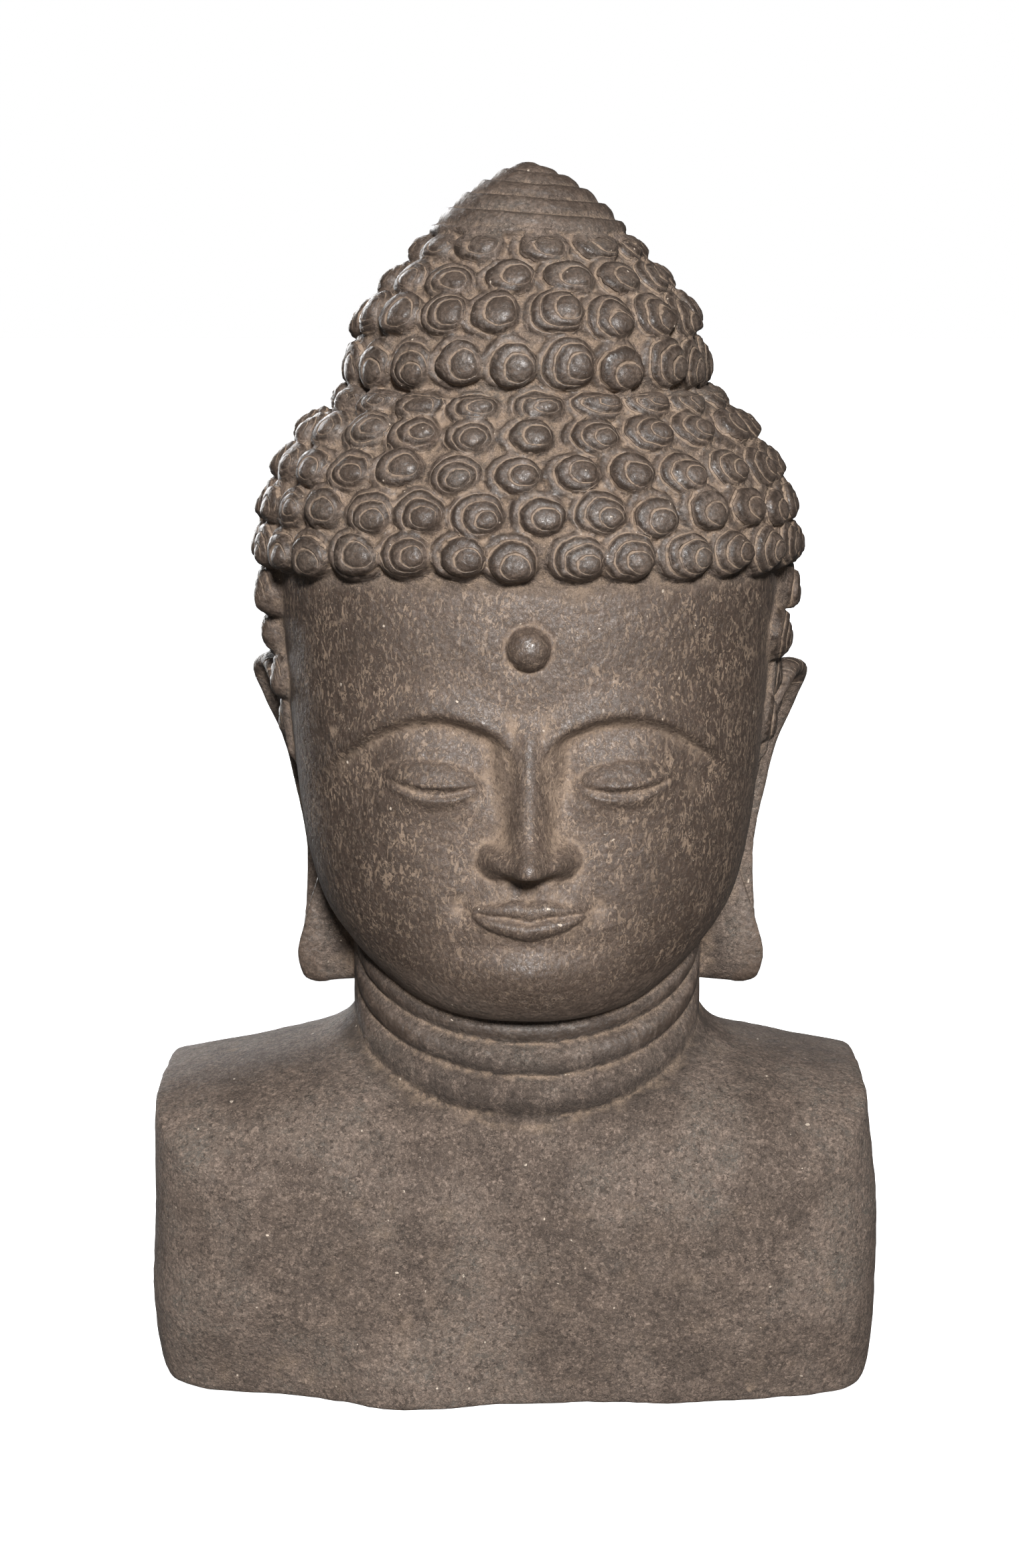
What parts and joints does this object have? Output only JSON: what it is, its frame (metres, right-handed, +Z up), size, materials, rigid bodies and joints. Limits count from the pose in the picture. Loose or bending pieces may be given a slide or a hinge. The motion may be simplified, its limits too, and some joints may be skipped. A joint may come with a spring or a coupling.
{
  "type": "stone buddha bust",
  "caption": "Hand-carved dark volcanic stone bust: calm face, snail-curl hair under a curled dome and ringed cone, long ears, neck folds, flat-cut chest block.",
  "frame": {"origin": "middle of the flat underside of the chest block", "axes": "+Z up, the face looks along -Y, +X to a viewer's right"},
  "size_m": [0.3619, 0.2718, 0.6],
  "materials": {
    "stone": "matte"
  },
  "bodies": {
    "root": {"stone_bust": "stone"}
  },
  "joints": []
}
